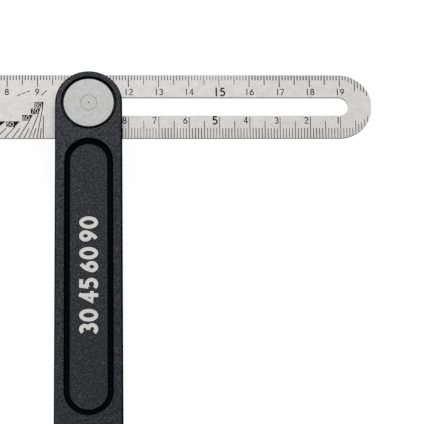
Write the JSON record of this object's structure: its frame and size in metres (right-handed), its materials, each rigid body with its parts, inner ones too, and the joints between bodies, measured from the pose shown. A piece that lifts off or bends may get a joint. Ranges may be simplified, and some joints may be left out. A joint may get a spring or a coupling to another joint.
{
  "type": "angle gauge",
  "caption": "Sliding bevel: a slotted steel blade with scales that slides and turns in a flat black stock, clamped by a disc-headed bolt and a rear lever.",
  "frame": {"origin": "on the pivot axis of the blade, in the plane of the lever's flat underside, on which the gauge lies", "axes": "+Z out of the front face along the pivot axis, +X along the blade at 90 degrees to the slotted end, +Y along the stock to its round top"},
  "size_m": [0.2003, 0.13, 0.0157],
  "materials": {
    "coated_stock": "satin",
    "plain_metal": "satin",
    "hardware_steel": "satin",
    "disc_steel": "satin",
    "blade_steel": "satin",
    "fibre": "matte",
    "lever_plastic": "matte",
    "nut_brass": "satin"
  },
  "bodies": {
    "stock": {"front_cheek": "coated_stock", "rear_cheek": "coated_stock", "end_spacer": "plain_metal", "cheek_screws": "hardware_steel", "dowel_pins": "hardware_steel", "disc_spring": "hardware_steel", "thrust_washer": "hardware_steel"},
    "bolt": {"clamp_bolt": "disc_steel", "end_ring": "hardware_steel"},
    "friction_washers": {"front_friction_washer": "fibre", "rear_friction_washer": "fibre"},
    "blade": {"blade": "blade_steel"},
    "lever": {"lock_lever": "lever_plastic", "clamp_nut": "nut_brass", "lever_cap": "lever_plastic"}
  },
  "joints": [
    {"name": "blade_swing", "type": "hinge", "parent": "stock", "child": "friction_washers", "pos_m": [0, 0, 0.01112], "axis": [0, 0, 1], "range_deg": [-255, 75]},
    {"name": "blade_slide", "type": "slide", "parent": "friction_washers", "child": "blade", "axis": [1, 0, 0], "range_m": [-0.0826, 0.0039]},
    {"name": "lever_turn", "type": "hinge", "parent": "stock", "child": "lever", "pos_m": [0, 0, 0], "axis": [0, 0, -1], "range_deg": [0, 180]},
    {"name": "bolt_rise", "type": "slide", "parent": "stock", "child": "bolt", "axis": [0, 0, 1], "range_m": [0, 0.0005], "deforming": ["disc_spring"]}
  ],
  "couplings": [
    {"joint": "bolt_rise", "follows": "lever_turn", "m_per_rad": 0.00015915}
  ]
}
